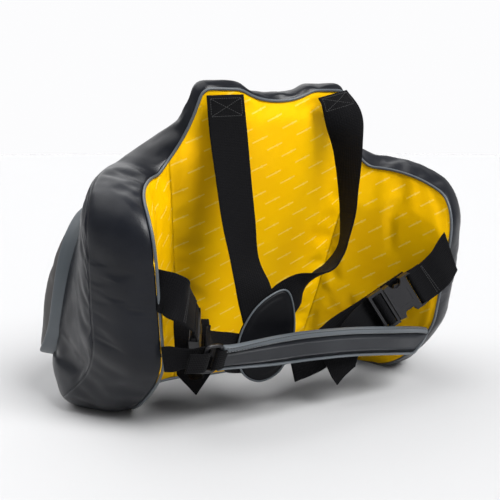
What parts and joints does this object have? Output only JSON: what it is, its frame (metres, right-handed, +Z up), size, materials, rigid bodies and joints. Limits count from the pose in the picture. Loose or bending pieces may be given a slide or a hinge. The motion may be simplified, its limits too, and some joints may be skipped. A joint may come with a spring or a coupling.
{
  "type": "kick shield",
  "caption": "Wearable C-shaped padded kick shield with a yellow lining, raised strike pad, crossed harness straps, release buckles and a waist belt.",
  "frame": {"origin": "centre of the footprint box, on the floor the shield stands on", "axes": "+Z up, +X to the wearer's right when it is worn, which is the wide way, +Y from the wearer out through the strike pad"},
  "size_m": [0.533, 0.3007, 0.3782],
  "materials": {
    "foam": "closed-cell foam",
    "lining": "smooth coated nylon, yellow",
    "cover": "black artificial leather, satin",
    "pad_face": "dark grey artificial leather, fine grain",
    "trim": "grey artificial leather, satin",
    "webbing": "black woven polypropylene webbing",
    "buckle_plastic": "black acetal, fine matt"
  },
  "bodies": {
    "shield": {"lining_centre": "lining", "foam_core_centre": "foam", "front_cover_centre": "cover", "lining_left_wing": "lining", "foam_core_left_wing": "foam", "front_cover_left_wing": "cover", "lining_right_wing": "lining", "foam_core_right_wing": "foam", "front_cover_right_wing": "cover", "chest_gusset": "cover", "foot_gusset": "cover", "left_wing_gusset": "cover", "right_wing_gusset": "cover", "lining_piping": "trim", "strike_pad_foam": "foam", "strike_pad_face": "pad_face", "strike_pad_band": "trim", "shoulder_strap_left": "webbing", "shoulder_strap_right": "webbing", "cross_pad_back": "cover", "cross_pad_front": "cover", "cross_pad_piping": "trim", "buckle_housing_right": "buckle_plastic", "buckle_housing_left": "buckle_plastic", "stub_strap_right": "webbing", "stub_strap_left": "webbing", "lower_strap_right": "webbing", "lower_strap_left": "webbing", "belt_panel": "cover", "belt_binding_upper": "trim", "belt_binding_lower": "trim", "belt_ring_loop": "webbing", "belt_webbing_left": "webbing"},
    "right_buckle_plug": {"buckle_plug_right": "buckle_plastic", "strap_tail_right": "webbing"},
    "right_upper_prong": {"buckle_prong_upper_right": "buckle_plastic"},
    "right_lower_prong": {"buckle_prong_lower_right": "buckle_plastic"},
    "left_buckle_plug": {"buckle_plug_left": "buckle_plastic", "strap_tail_left": "webbing"},
    "left_upper_prong": {"buckle_prong_upper_left": "buckle_plastic"},
    "left_lower_prong": {"buckle_prong_lower_left": "buckle_plastic"},
    "belt_slot_ring": {"belt_ring": "buckle_plastic"}
  },
  "joints": [
    {"name": "right_plug_slide", "type": "slide", "parent": "shield", "child": "right_buckle_plug", "axis": [-0.8214, 0.2259, -0.5237], "range_m": [0, 0.028]},
    {"name": "right_upper_prong_squeeze", "type": "hinge", "parent": "right_buckle_plug", "child": "right_upper_prong", "pos_m": [0.10923, -0.10618, 0.12832], "axis": [-0.316, -0.9447, 0.0882], "range_deg": [0, 7], "stiffness_Nm_per_rad": 0.05},
    {"name": "right_lower_prong_squeeze", "type": "hinge", "parent": "right_buckle_plug", "child": "right_lower_prong", "pos_m": [0.12063, -0.11189, 0.10798], "axis": [0.316, 0.9447, -0.0882], "range_deg": [0, 7], "stiffness_Nm_per_rad": 0.05},
    {"name": "left_plug_slide", "type": "slide", "parent": "shield", "child": "left_buckle_plug", "axis": [0.2878, 0.5365, -0.7933], "range_m": [0, 0.028]},
    {"name": "left_upper_prong_squeeze", "type": "hinge", "parent": "left_buckle_plug", "child": "left_upper_prong", "pos_m": [-0.13214, -0.08146, 0.10475], "axis": [-0.8814, 0.4725, -0.0002], "range_deg": [0, 7], "stiffness_Nm_per_rad": 0.05},
    {"name": "left_lower_prong_squeeze", "type": "hinge", "parent": "left_buckle_plug", "child": "left_lower_prong", "pos_m": [-0.14113, -0.09824, 0.09014], "axis": [0.8814, -0.4725, 0.0002], "range_deg": [0, 7], "stiffness_Nm_per_rad": 0.05},
    {"name": "ring_swing", "type": "hinge", "parent": "shield", "child": "belt_slot_ring", "pos_m": [-0.134, -0.13817, 0.093], "axis": [0.0447, -0.464, 0.8847], "range_deg": [-7, 7]}
  ],
  "couplings": [
    {"joint": "right_lower_prong_squeeze", "follows": "right_upper_prong_squeeze", "ratio": 1},
    {"joint": "left_lower_prong_squeeze", "follows": "left_upper_prong_squeeze", "ratio": 1}
  ]
}
